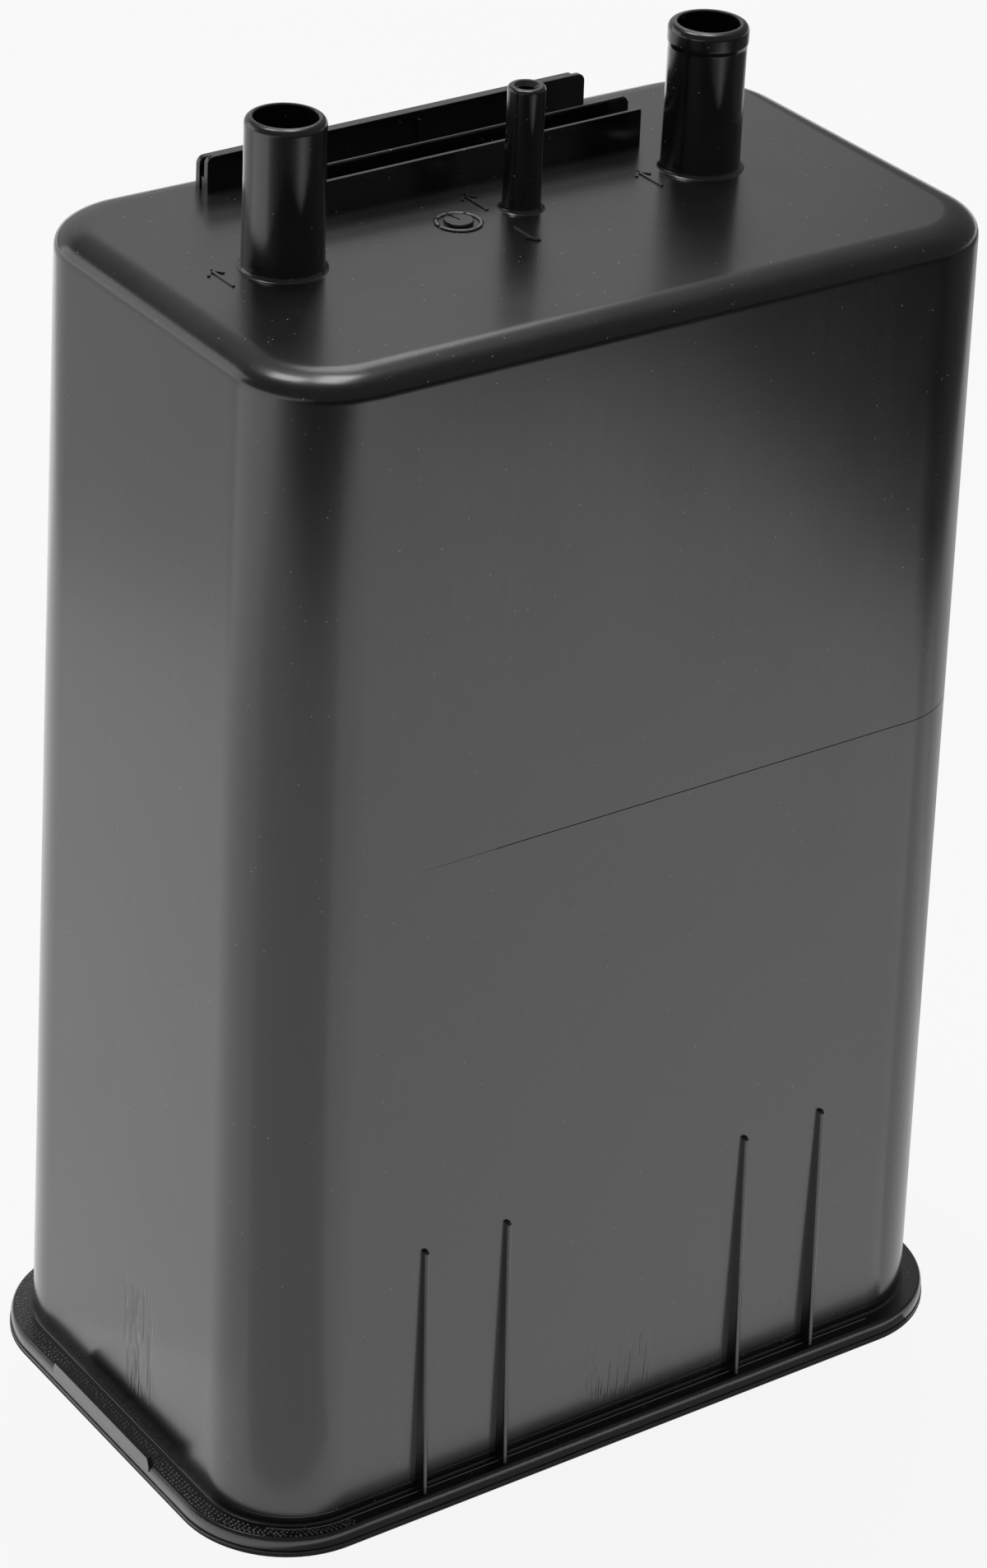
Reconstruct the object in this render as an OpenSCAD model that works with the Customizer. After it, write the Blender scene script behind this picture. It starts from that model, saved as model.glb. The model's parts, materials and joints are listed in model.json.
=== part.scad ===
// Charcoal canister for fuel vapour: a drafted plastic housing with three hose ports and a slide
// mount on its roof, closed by a bottom cover that is welded to its flange. Two carbon chambers lie
// inside, each packed between fleece filters and pushed up by springs.
// Millimetres. +Z is up, the long side lies along X, the ribbed face looks along -Y, and the origin
// is on the ground below the middle of the flange.

/* [Body] */
// Width of the body where it meets the flange
body_w = 180; // [160:1:220]
// Depth of the body where it meets the flange
body_d = 109.2; // [100:0.1:140]
// Height of the roof above the ground
body_h = 263.5; // [180:0.5:320]
// Draft of the walls, in degrees
draft = 0.9; // [0.5:0.1:1.5]
// Radius of the upright corners
corner_r = 20; // [12:0.5:24]
// Rounding of the roof's edge
edge_r = 4.2; // [3:0.1:8]
// Thickness of the side walls
wall = 2.5; // [2:0.1:3.5]
// Thickness of the roof
roof_t = 3; // [2:0.1:4]

/* [Flange and cover] */
// Reach of the flange beyond the front and the back
flange_out = 4.5; // [3:0.1:8]
// Reach of the flange beyond the short sides
flange_end = 5.5; // [3:0.1:8]
// Thickness of the flange
flange_t = 3.1; // [2:0.1:5]
// Thickness of the bottom cover
cover_t = 1.5; // [1:0.1:3]
// Height of the cover's collar, which stands in the mouth of the housing
collar_h = 4; // [2:0.5:6]
// Thickness of the collar and of the cover's stiffening ribs
collar_t = 2; // [1.5:0.1:3]
// Length of the raised lip on the left edge of the flange
lip_l = 40.5; // [20:0.5:60]
// Height of the raised lip above the flange
lip_h = 1.8; // [1:0.1:4]
// Thickness of the raised lip
lip_t = 1.2; // [0.8:0.1:2]
// Slant of the ends of the raised lip
lip_slant = 0.6; // [0:0.1:3]

/* [Front ribs] */
// Middle of the two pairs of ribs along X
rib_mid = 0.7; // [-5:0.1:5]
// Distance between the pairs
pair_gap = 81.9; // [60:0.1:100]
// Distance between the ribs of a pair
rib_gap = 20.4; // [12:0.1:30]
// Thickness of a rib
rib_t = 1.6; // [1:0.1:3]
// Height of a rib above the flange
rib_h = 60.5; // [30:0.5:90]
// Depth of a rib at the flange
rib_out = 2.5; // [1.5:0.1:3]
// Depth of a rib at its top
rib_tip = 0.6; // [0.2:0.1:1.2]

/* [Ports] */
// Outer diameter of the air and tank ports
port_od = 16; // [12:0.1:20]
// Bore of the air and tank ports
port_bore = 12.6; // [8:0.1:14]
// Height of the air and tank ports above the roof
port_h = 30.8; // [20:0.1:45]
// Outer diameter of the purge port
purge_od = 7.6; // [6:0.1:12]
// Bore of the purge port
purge_bore = 3.4; // [2.5:0.1:5]
// Height of the purge port above the roof
purge_h = 25.8; // [15:0.1:40]
// Place of the air port along X
air_x = -55.4; // [-60:0.1:-45]
// Place of the air port along Y
air_y = 0.9; // [-5:0.1:5]
// Place of the purge port along X
purge_x = 1.7; // [-5:0.1:8]
// Place of the purge port along Y
purge_y = 3.1; // [-5:0.1:6]
// Place of the tank port along X
tank_x = 46.4; // [38:0.1:55]
// Place of the tank port along Y
tank_y = 4.1; // [-5:0.1:6]
// Length of the straight end of a port that a hose sits on
seat_l = 12; // [8:0.5:16]
// Draft of the ports below their straight ends, in degrees
port_draft = 0.6; // [0:0.1:1.5]
// Height of the hose bead at the end of the tank port
bead_h = 4.6; // [2:0.1:7]
// How far the hose bead stands out
bead_out = 0.25; // [0.1:0.05:1]
// Fillet at the foot of each port
port_fillet = 1; // [0.5:0.1:2]

/* [Date insert] */
// Place of the date insert along X
insert_x = -13.6; // [-20:0.1:-12]
// Place of the date insert along Y
insert_y = 2.6; // [-15:0.1:6]
// Diameter of the ring that the insert leaves in the roof
insert_d = 10.2; // [8:0.1:12]
// Diameter of the insert's raised middle
insert_mid_d = 6; // [4:0.1:7]
// Height of the insert's raised middle
insert_h = 0.8; // [0.3:0.1:1]

/* [Slide mount] */
// Length of the two rails
rail_l = 91.2; // [60:0.1:110]
// Middle of the rails along X
rail_mid = -3.6; // [-8:0.1:8]
// Distance from the back of the rear rail to the back of the roof
rail_inset = 6.9; // [5:0.1:12]
// Width of the slot between the rails
slot_w = 14.5; // [10:0.1:16]
// Height of the front wall of the rear rail, at its middle
rear_front_h = 8.1; // [5:0.1:12]
// Height of the back wall of the rear rail, at its middle
rear_back_h = 7.1; // [5:0.1:12]
// Height of the inner wall of the front rail, at its middle
inner_wall_h = 8.6; // [5:0.1:12]
// Height of the outer wall of the front rail, at its middle
outer_wall_h = 7.2; // [4:0.1:12]
// How much the tops of the rails rise from the left end to the right
rail_rise = 1.2; // [0:0.1:2]
// Thickness of the front rail's walls
rail_t = 1.2; // [1:0.1:1.6]
// Thickness of the rear rail's walls
rear_wall_t = 1.7; // [1:0.1:1.8]
// Depth of the rear rail over both of its walls
rear_rail_d = 4.8; // [4:0.1:6]
// Depth of the front rail over both of its walls
front_rail_d = 5.6; // [4:0.1:6]
// Height of the web between the walls of the rear rail
web_h = 2.6; // [1:0.1:4]
// Height of the stop on the face of the rear rail
stop_h = 4.3; // [2:0.1:5]

/* [Filling] */
// Height of the air space below the roof
plenum_h = 6; // [4:0.5:10]
// Thickness of a fleece filter
filter_t = 5; // [3:0.5:8]
// Thickness of a grid plate
grid_t = 3; // [2:0.1:4]
// Width of the slots in the grid plates and of the bars between them
grid_slot = 4; // [3:0.5:6]
// Height of a spring between its seats
spring_h = 20; // [16:0.5:30]
// Mean radius of a spring
spring_r = 13; // [10:0.5:15]
// Diameter of the spring wire
wire_d = 2; // [1.2:0.1:2.5]
// Turns of a spring
turns = 5; // [4:1:6]
// Thickness of the inner partitions
part_t = 2; // [1.5:0.1:3]
// Height of the gap below the long partition
part_gap = 10.5; // [8:0.5:14]
// Depth to which the short partition reaches into the carbon
divider_in = 25; // [10:1:60]

/* [Hidden] */

fit = 0.3;            // clearance of what sits inside the walls
spring_seat = 0.1;    // clearance of a spring at each end
sliver = 0.01;        // height of the discs that a hull joins
over = 1;             // how far a cut runs past a face
hull_fn = 32;         // sides of a round that a hull joins
round_fn = 64;        // sides of any other round

flange_z = cover_t + flange_t;
flange_w = body_w + 2 * flange_end;
flange_d = body_d + 2 * flange_out;
flange_r = corner_r + (flange_out + flange_end) / 2;
lip_y = 1;

// Half sizes of the drafted body at a height
function half_w(z) = body_w / 2 - tan(draft) * (z - flange_z);
function half_d(z) = body_d / 2 - tan(draft) * (z - flange_z);

// Heights of the filling, from the cover up
grid_z = cover_t + spring_h;
low_filter_z = grid_z + grid_t;
carbon_z = low_filter_z + filter_t;
roof_z = body_h - roof_t;
filter_z = roof_z - plenum_h - filter_t;
part_z = cover_t + part_gap;
divider_z = filter_z - divider_in;

// Places of the inner partitions and limits of the spaces between them
part_x = (air_x + purge_x) / 2;
divider_x = (purge_x + tank_x) / 2;
left_x = -body_w / 2;
right_x = body_w / 2;
air_span = [left_x, part_x - part_t / 2];
main_span = [part_x + part_t / 2, right_x];
purge_span = [main_span[0], divider_x - part_t / 2];
tank_span = [divider_x + part_t / 2, right_x];

// Springs stand on the middle of each chamber, two below the wide one
inner_left = -half_w(grid_z) + wall;
inner_right = half_w(grid_z) - wall;
air_spring_x = (inner_left + air_span[1]) / 2;
main_third = (inner_right - main_span[0]) / 4;
main_spring_x = [main_span[0] + main_third, inner_right - main_third];
spigot_r = spring_r - wire_d / 2 - fit;
spigot_t = 1.6;
spigot_h = 4;

// Slide mount, from the back of the roof forward
rear_back_y = half_d(body_h) - rail_inset;
rear_front_y = rear_back_y - rear_rail_d;
inner_back_y = rear_front_y - slot_w;
outer_front_y = inner_back_y - front_rail_d;
rail_x = rail_mid - rail_l / 2;
rail_round = 1.6;
stop_x = 0.7;
stop_w = 0.8;
stop_out = 0.5;
stop_lift = 2.2;

fin_t = 1.6;
fin_pitch = 14;
port_lip = 1.4;
purge_lip = 0.7;
mouth_chamfer = 0.2;
purge_chamfer = 0.9;
grid_edge = 7;
ring_w = 0.5;
ring_depth = 0.3;
dial_slot = 0.6;
dial_turn = 13;

// Flat outline with round corners
module rounded_rect(w, d, r) {
    square([w - 2 * r, d], center = true);
    square([w, d - 2 * r], center = true);
    for (sx = [-1, 1], sy = [-1, 1])
        translate([sx * (w / 2 - r), sy * (d / 2 - r)])
            circle(r, $fn = round_fn);
}

// Drafted block with upright round corners between two heights, taken in from the outer faces
module drafted(z0, z1, inset) {
    hull()
        for (z = [z0, z1 - sliver], sx = [-1, 1], sy = [-1, 1])
            translate([sx * (half_w(z) - corner_r), sy * (half_d(z) - corner_r), z])
                cylinder(r = corner_r - inset, h = sliver, $fn = hull_fn);
}

// Disc with a rounded upper edge
module rounded_disc() {
    arc = [for (a = [0 : 15 : 90]) [corner_r - edge_r + edge_r * cos(a), edge_r * sin(a)]];
    rotate_extrude($fn = hull_fn)
        polygon(concat([[0, 0]], arc, [[0, edge_r]]));
}

// Outside of the body, from the foot of the flange to the rounded roof
module body_outside() {
    top = body_h - edge_r;
    hull()
        for (sx = [-1, 1], sy = [-1, 1]) {
            translate([sx * (half_w(flange_z) - corner_r), sy * (half_d(flange_z) - corner_r), cover_t])
                cylinder(r = corner_r, h = flange_t, $fn = hull_fn);
            translate([sx * (half_w(top) - corner_r), sy * (half_d(top) - corner_r), top])
                rounded_disc();
        }
}

// Part of the inner space between two heights and two places along X, with room at the walls
module filling(z0, z1, span, room) {
    intersection() {
        drafted(z0, z1, wall + room);
        translate([span[0] + room, -body_d / 2, z0 - over])
            cube([span[1] - span[0] - 2 * room, body_d, z1 - z0 + 2 * over]);
    }
}

// Wall across the inside, from a height up to the roof
module partition(x, z) {
    translate([x - part_t / 2, -body_d / 2, z])
        cube([part_t, body_d, body_h - roof_t - z + over]);
}

// Row of fins below the roof that hold a filter down, clear of the ends of its space
module fins(x0, x1) {
    count = floor((x1 - x0) / fin_pitch) - 1;
    first = (x0 + x1) / 2 - (count - 1) * fin_pitch / 2;
    length = body_d - 2 * corner_r;
    for (i = [0 : count - 1])
        translate([first + i * fin_pitch - fin_t / 2, -length / 2, roof_z - plenum_h])
            cube([fin_t, length, plenum_h + over]);
}

// Inside of the housing: one space down to the flange, less the walls and fins that stand in it
module inside() {
    difference() {
        drafted(cover_t - over, roof_z, wall);
        partition(part_x, part_z);
        partition(divider_x, divider_z);
        fins(inner_left, air_span[1]);
        fins(purge_span[0], purge_span[1]);
        fins(tank_span[0], inner_right);
    }
}

// Outside of a port on the roof: a fillet, a drafted foot, a straight end and a round mouth
module port_outside(od, h, lip, bead = 0, bead_l = 0) {
    r = od / 2;
    foot_r = r + tan(port_draft) * (h - seat_l);
    foot = [for (a = [0 : 30 : 90]) [foot_r + port_fillet * (1 - sin(a)), port_fillet * (1 - cos(a))]];
    neck = bead > 0 ? [[r, h - bead_l - bead], [r + bead, h - bead_l]] : [];
    mouth = [for (a = [0 : 30 : 90]) [r + bead - lip * (1 - cos(a)), h - lip * (1 - sin(a))]];
    base = [[0, -roof_t / 2], [foot_r + port_fillet, -roof_t / 2]];
    rotate_extrude($fn = round_fn)
        polygon(concat(base, foot, [[r, h - seat_l]], neck, mouth, [[0, h]]));
}

// Bore of a port, from below the fins under the roof out through its mouth
module port_bore_cut(bore, h, chamfer) {
    below = roof_t + plenum_h + over;
    translate([0, 0, -below])
        cylinder(d = bore, h = h + below + over, $fn = round_fn);
    translate([0, 0, h - chamfer])
        cylinder(r1 = bore / 2, r2 = bore / 2 + 2 * chamfer, h = 2 * chamfer, $fn = round_fn);
}

module at_air() {
    translate([air_x, air_y, body_h]) children();
}

module at_purge() {
    translate([purge_x, purge_y, body_h]) children();
}

module at_tank() {
    translate([tank_x, tank_y, body_h]) children();
}

// Upright wall of a rail along X with its front face at y, sunk a little into the roof
module rail_wall(y, t, h, r) {
    left_h = h - rail_rise / 2 - r;
    right_h = h + rail_rise / 2 - r;
    left = [for (a = [90 : 15 : 180]) [r + r * cos(a), left_h + r * sin(a)]];
    right = [for (a = [0 : 15 : 90]) [rail_l - r + r * cos(a), right_h + r * sin(a)]];
    translate([rail_x, y + t, body_h])
        rotate([90, 0, 0])
            linear_extrude(t)
                polygon(concat([[0, -roof_t / 2], [rail_l, -roof_t / 2]], right, left));
}

// Two rails on the roof, each of two thin walls, with a slot for a bracket's tongue between them
module slide_mount() {
    rail_wall(outer_front_y, rail_t, outer_wall_h, rail_t / 4);
    rail_wall(inner_back_y - rail_t, rail_t, inner_wall_h, rail_round);
    rail_wall(rear_front_y, rear_wall_t, rear_front_h, rail_round);
    rail_wall(rear_back_y - rear_wall_t, rear_wall_t, rear_back_h, rail_round);
    translate([rail_x, rear_front_y, body_h - roof_t / 2])
        cube([rail_l, rear_rail_d, web_h + roof_t / 2]);
    translate([stop_x - stop_w / 2, rear_front_y - stop_out, body_h + stop_lift])
        cube([stop_w, stop_out + rear_wall_t / 2, stop_h]);
}

// Ribs that stiffen the foot of the front face and taper towards their tops
module front_ribs() {
    face = -half_d(flange_z);
    top_face = -half_d(flange_z + rib_h);
    for (pair = [-1, 1], side = [-1, 1])
        translate([rib_mid + pair * pair_gap / 2 + side * rib_gap / 2 - rib_t / 2, 0, 0])
            rotate([90, 0, 90])
                linear_extrude(rib_t)
                    polygon([
                        [face + wall / 2, flange_z - flange_t / 2],
                        [face - rib_out, flange_z - flange_t / 2],
                        [face - rib_out, flange_z],
                        [top_face - rib_tip, flange_z + rib_h - rib_tip],
                        [top_face, flange_z + rib_h],
                        [top_face + wall / 2, flange_z + rib_h]
                    ]);
}

module flange() {
    translate([0, 0, cover_t])
        linear_extrude(flange_t)
            rounded_rect(flange_w, flange_d, flange_r);
    translate([-flange_w / 2, lip_y, 0])
        rotate([90, 0, 90])
            linear_extrude(lip_t)
                polygon([
                    [-lip_l / 2, flange_z - flange_t / 2],
                    [lip_l / 2, flange_z - flange_t / 2],
                    [lip_l / 2, flange_z],
                    [lip_l / 2 - lip_slant, flange_z + lip_h],
                    [-lip_l / 2 + lip_slant, flange_z + lip_h],
                    [-lip_l / 2, flange_z]
                ]);
}

// Raised dial of the date insert, with a slot across it
module insert_dial() {
    translate([insert_x, insert_y, body_h - roof_t / 2])
        difference() {
            cylinder(d = insert_mid_d, h = roof_t / 2 + insert_h, $fn = round_fn);
            rotate([0, 0, dial_turn])
                translate([-dial_slot / 2, -insert_mid_d / 2 - over, roof_t / 2])
                    cube([dial_slot, insert_mid_d + 2 * over, insert_h + over]);
        }
}

// Thin ring that the edge of the date insert leaves in the roof
module insert_ring_cut() {
    translate([insert_x, insert_y, body_h - ring_depth])
        difference() {
            cylinder(d = insert_d, h = ring_depth + over, $fn = round_fn);
            translate([0, 0, -over])
                cylinder(d = insert_d - 2 * ring_w, h = ring_depth + 3 * over, $fn = round_fn);
        }
}

// Moulded housing, open below
module housing() {
    color("#2e2e30")
        difference() {
            union() {
                body_outside();
                flange();
                front_ribs();
                slide_mount();
                at_air() port_outside(port_od, port_h, port_lip);
                at_tank() port_outside(port_od, port_h, port_lip, bead_out, bead_h);
                at_purge() port_outside(purge_od, purge_h, purge_lip);
                insert_dial();
            }
            inside();
            insert_ring_cut();
            at_air() port_bore_cut(port_bore, port_h, mouth_chamfer);
            at_tank() port_bore_cut(port_bore, port_h, mouth_chamfer);
            at_purge() port_bore_cut(purge_bore, purge_h, purge_chamfer);
        }
}

// Ring that keeps a spring in its place
module spigot(x) {
    translate([x, 0, 0])
        difference() {
            cylinder(r = spigot_r, h = spigot_h, $fn = round_fn);
            translate([0, 0, -over])
                cylinder(r = spigot_r - spigot_t, h = spigot_h + 2 * over, $fn = round_fn);
        }
}

// Cover: a plate below the flange with a collar in the mouth, cross ribs and spring spigots
module bottom_cover() {
    collar_w = 2 * (half_w(flange_z) - wall - fit);
    collar_d = 2 * (half_d(flange_z) - wall - fit);
    collar_corner = corner_r - wall - fit;
    rib_places = [air_span[1] + part_t / 2, (main_spring_x[0] + main_spring_x[1]) / 2];
    color("#2a2a2c") {
        linear_extrude(cover_t)
            rounded_rect(flange_w, flange_d, flange_r);
        linear_extrude(cover_t + collar_h)
            difference() {
                rounded_rect(collar_w, collar_d, collar_corner);
                rounded_rect(collar_w - 2 * collar_t, collar_d - 2 * collar_t, collar_corner - collar_t);
            }
        for (x = rib_places)
            translate([x - collar_t / 2, -collar_d / 2 + collar_t / 2, 0])
                cube([collar_t, collar_d - collar_t, cover_t + collar_h]);
        for (x = [air_spring_x, main_spring_x[0], main_spring_x[1]])
            translate([0, 0, cover_t])
                spigot(x);
    }
}

module filter(z, span) {
    color("#d8d5cc")
        filling(z, z + filter_t, span, fit);
}

module air_filter() {
    filter(filter_z, air_span);
}

module purge_filter() {
    filter(filter_z, purge_span);
}

module tank_filter() {
    filter(filter_z, tank_span);
}

module air_lower_filter() {
    filter(low_filter_z, air_span);
}

module main_lower_filter() {
    filter(low_filter_z, main_span);
}

module air_carbon() {
    color("#1a1a1a")
        filling(carbon_z, filter_z, air_span, fit);
}

// Wide carbon bed, with a slot in its top for the short partition
module main_carbon() {
    color("#1a1a1a")
        difference() {
            filling(carbon_z, filter_z, main_span, fit);
            translate([divider_x - part_t / 2 - fit, -body_d / 2, divider_z - fit])
                cube([part_t + 2 * fit, body_d, divider_in + fit + over]);
        }
}

// Plate with two rows of slots below a filter, and a spigot for each spring on its lower face
module grid(span, ends, springs) {
    length = half_d(low_filter_z) - wall - 1.5 * grid_edge;
    pitch = 2 * grid_slot;
    count = floor((ends[1] - ends[0] - 2 * grid_edge) / pitch);
    first = (ends[0] + ends[1]) / 2 - (count - 1) * pitch / 2;
    color("#3b3b3e") {
        difference() {
            filling(grid_z, low_filter_z, span, 2 * fit);
            for (i = [0 : count - 1], side = [-1, 1])
                translate([first + i * pitch, side * (length + grid_edge) / 2, grid_z + grid_t / 2])
                    cube([grid_slot, length, grid_t + 2 * over], center = true);
        }
        for (x = springs)
            translate([0, 0, grid_z - spigot_h])
                spigot(x);
    }
}

module air_grid() {
    grid(air_span, [inner_left, air_span[1]], [air_spring_x]);
}

module main_grid() {
    grid(main_span, [main_span[0], inner_right], main_spring_x);
}

// Height of the wire's middle along a spring, with a closed turn at each end
function wire_z(t, rise) = t < 1 ? t * wire_d * 1.1
    : t > turns - 1 ? rise - (turns - t) * wire_d * 1.1
    : wire_d * 1.1 + (t - 1) / (turns - 2) * (rise - 2.2 * wire_d);

// Compression spring: a round wire swept along its coil
module spring(x) {
    steps = 20;
    sides = 8;
    rings = turns * steps;
    rise = spring_h - wire_d - 2 * spring_seat;
    points = [
        for (i = [0 : rings], k = [0 : sides - 1])
            let (turn = 360 * i / steps, a = 360 * (k + 0.5) / sides, r = spring_r + wire_d / 2 * cos(a))
                [r * cos(turn), r * sin(turn), wire_z(i / steps, rise) + wire_d / 2 * sin(a)]
    ];
    skin = [
        for (i = [0 : rings - 1], k = [0 : sides - 1])
            let (next = (k + 1) % sides, a = i * sides, b = (i + 1) * sides)
                [a + k, a + next, b + next, b + k]
    ];
    ends = [[for (k = [sides - 1 : -1 : 0]) k], [for (k = [0 : sides - 1]) rings * sides + k]];
    color("#b9bcc0")
        translate([x, 0, cover_t + spring_seat + wire_d / 2])
            polyhedron(points, concat(skin, ends), convexity = 10);
}

module air_spring() {
    spring(air_spring_x);
}

module main_spring_left() {
    spring(main_spring_x[0]);
}

module main_spring_right() {
    spring(main_spring_x[1]);
}

housing();
bottom_cover();
air_filter();
purge_filter();
tank_filter();
air_carbon();
main_carbon();
air_lower_filter();
main_lower_filter();
air_grid();
main_grid();
air_spring();
main_spring_left();
main_spring_right();
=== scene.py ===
"""Looks of the charcoal canister: a satin black moulding with a welded base."""
import json
import math
import random

import bmesh
import bpy
from mathutils import Matrix, Vector, noise


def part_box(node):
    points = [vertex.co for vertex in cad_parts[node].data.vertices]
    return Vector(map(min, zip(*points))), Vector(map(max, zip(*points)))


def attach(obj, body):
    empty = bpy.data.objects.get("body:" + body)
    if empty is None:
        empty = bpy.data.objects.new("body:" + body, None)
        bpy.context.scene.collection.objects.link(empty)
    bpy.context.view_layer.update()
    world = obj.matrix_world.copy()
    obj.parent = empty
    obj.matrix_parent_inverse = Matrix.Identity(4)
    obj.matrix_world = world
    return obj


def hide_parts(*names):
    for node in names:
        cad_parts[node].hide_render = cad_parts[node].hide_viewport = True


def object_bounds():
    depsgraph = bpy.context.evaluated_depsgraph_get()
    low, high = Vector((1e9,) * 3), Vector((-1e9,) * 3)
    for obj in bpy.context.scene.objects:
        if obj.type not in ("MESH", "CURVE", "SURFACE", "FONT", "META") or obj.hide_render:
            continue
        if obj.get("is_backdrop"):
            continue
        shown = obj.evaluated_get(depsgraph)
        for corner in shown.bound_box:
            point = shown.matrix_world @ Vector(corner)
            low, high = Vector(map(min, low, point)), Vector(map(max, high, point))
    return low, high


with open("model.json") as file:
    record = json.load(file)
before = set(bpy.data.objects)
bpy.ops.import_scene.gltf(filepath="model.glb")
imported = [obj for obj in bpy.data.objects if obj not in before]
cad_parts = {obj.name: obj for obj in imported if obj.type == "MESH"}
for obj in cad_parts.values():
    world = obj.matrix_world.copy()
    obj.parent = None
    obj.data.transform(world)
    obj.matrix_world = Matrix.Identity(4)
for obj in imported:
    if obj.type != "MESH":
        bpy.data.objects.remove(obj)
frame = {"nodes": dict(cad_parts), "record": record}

CAD_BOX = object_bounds()
MM = 0.001
MOUNTS = {m["name"]: m for m in frame["record"]["mounts"]}


def in_mm(point):
    """A point of the frame in millimetres."""
    return Vector(point) / MM


# Sizes in millimetres, from the frame where it holds them
HOUSING_LOW, HOUSING_HIGH = (in_mm(corner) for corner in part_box("housing"))
COVER_TOP = in_mm(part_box("bottom_cover")[1]).z
ROOF_Z = in_mm(MOUNTS["bracket_slot"]["pos_m"]).z
PORT_TOP = HOUSING_HIGH.z
FLANGE_HX = HOUSING_HIGH.x
FLANGE_HY = HOUSING_HIGH.y
COVER_T = HOUSING_LOW.z
FLANGE_T = 3.1
FLANGE_Z = COVER_T + FLANGE_T
FLANGE_R = 25
FLANGE_EDGE = 0.15
FLANGE_SLOPE = 0.8
FLANGE_ROUND = 1.8
LEDGE = 0.25
BODY_HX = 90
BODY_HY = 54.6
DRAFT = math.tan(math.radians(0.9))
CORNER_R = 20
EDGE_R = 4.2
EDGE_IN = 7.5
EDGE_SOFT = 3
EDGE_SOFT_DEG = 28
WALL = 2.5
ROOF_T = 3
FOOT_FILLET = 0.5

# How far joined pieces run into each other, and the start of a turned profile at its axis
OVERLAP = 1
AXIS_R = 0.001

# Bevels and sharp edges by the angle between faces
BEVEL_FROM = math.radians(40)
BEVEL_STEPS = 3
SHARP_DEG = 32
SMALL_SHARP_DEG = 60

# Points along the sides, corners and edges of the body, and round what is turned
SIDE_X_STEPS = 110
SIDE_Y_STEPS = 60
CORNER_STEPS = 22
ROUND_STEPS = 14
EDGE_FINE = 10
LATHE_STEPS = 96

random.seed(7)


# Mesh helpers

def half_w(z):
    """Half the width of the drafted body at a height."""
    return BODY_HX - DRAFT * (z - FLANGE_Z)


def half_d(z):
    """Half the depth of the drafted body at a height."""
    return BODY_HY - DRAFT * (z - FLANGE_Z)


def outline(hx, hy, r):
    """Points of a rectangle with round corners, from the left end of the front to the right."""
    points = []
    for i in range(SIDE_X_STEPS):
        points.append((-(hx - r) + 2 * (hx - r) * i / SIDE_X_STEPS, -hy))
    points += corner(hx - r, -(hy - r), r, -90)
    for i in range(SIDE_Y_STEPS):
        points.append((hx, -(hy - r) + 2 * (hy - r) * i / SIDE_Y_STEPS))
    points += corner(hx - r, hy - r, r, 0)
    for i in range(SIDE_X_STEPS):
        points.append((hx - r - 2 * (hx - r) * i / SIDE_X_STEPS, hy))
    points += corner(-(hx - r), hy - r, r, 90)
    for i in range(SIDE_Y_STEPS):
        points.append((-hx, hy - r - 2 * (hy - r) * i / SIDE_Y_STEPS))
    points += corner(-(hx - r), -(hy - r), r, 180)
    return points


def corner(cx, cy, r, start):
    """Quarter circle from an angle in degrees, without its last point."""
    angles = [math.radians(start + 90 * i / CORNER_STEPS) for i in range(CORNER_STEPS)]
    return [(cx + r * math.cos(a), cy + r * math.sin(a)) for a in angles]


def body_ring(z, out=0.0):
    """Ring of the drafted body at a height, moved out from its face."""
    return [(x, y, z) for x, y in outline(half_w(z) + out, half_d(z) + out, CORNER_R + out)]


def flange_ring(z, inset=0.0):
    """Ring of the flange at a height, moved in from its edge."""
    flat = outline(FLANGE_HX - inset, FLANGE_HY - inset, FLANGE_R - inset)
    return [(x, y, z) for x, y in flat]


def circle(cx, cy, r, z, steps):
    """Ring of points round an upright axis."""
    angles = [2 * math.pi * i / steps for i in range(steps)]
    return [(cx + r * math.cos(a), cy + r * math.sin(a), z) for a in angles]


def arc(steps, start=0, end=90):
    """Pairs of cosine and sine along an arc in degrees."""
    angles = [math.radians(start + (end - start) * i / steps) for i in range(steps + 1)]
    return [(math.cos(a), math.sin(a)) for a in angles]


def skin(bm, rings, closed=False):
    """Quads between rings of as many points each."""
    rows = [[bm.verts.new(p) for p in ring] for ring in rings]
    pairs = list(zip(rows, rows[1:])) + ([(rows[-1], rows[0])] if closed else [])
    for low, high in pairs:
        count = len(low)
        for i in range(count):
            j = (i + 1) % count
            bm.faces.new((low[i], low[j], high[j], high[i]))
    return rows


def solid(bm, rings, flip=False):
    """Skin with a face over each end; flip turns the first of them round."""
    rows = skin(bm, rings)
    bm.faces.new(list(reversed(rows[0])) if flip else rows[0])
    bm.faces.new(rows[-1])


def lathe(bm, profile, centre, steps=LATHE_STEPS):
    """Closed solid of revolution about Z; the profile runs up the outside from axis to axis."""
    cx, cy, cz = centre
    solid(bm, [circle(cx, cy, r, cz + z, steps) for r, z in profile], flip=True)


def slab(bm, points, thick, place, bevel):
    """Outline of (a, b) points made thick; place turns (a, b, depth) into a point of the frame."""
    low = [bm.verts.new(place(a, b, 0)) for a, b in points]
    high = [bm.verts.new(place(a, b, thick)) for a, b in points]
    count = len(points)
    faces = [bm.faces.new(low), bm.faces.new(list(reversed(high)))]
    for i in range(count):
        j = (i + 1) % count
        faces.append(bm.faces.new((low[j], low[i], high[i], high[j])))
    bmesh.ops.recalc_face_normals(bm, faces=faces)
    if bevel:
        edges = {e for f in faces for e in f.edges if e.calc_face_angle(0) > BEVEL_FROM}
        bmesh.ops.bevel(
            bm, geom=list(edges), offset=bevel, segments=BEVEL_STEPS, profile=0.5, affect="EDGES",
            clamp_overlap=True,
        )


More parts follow.
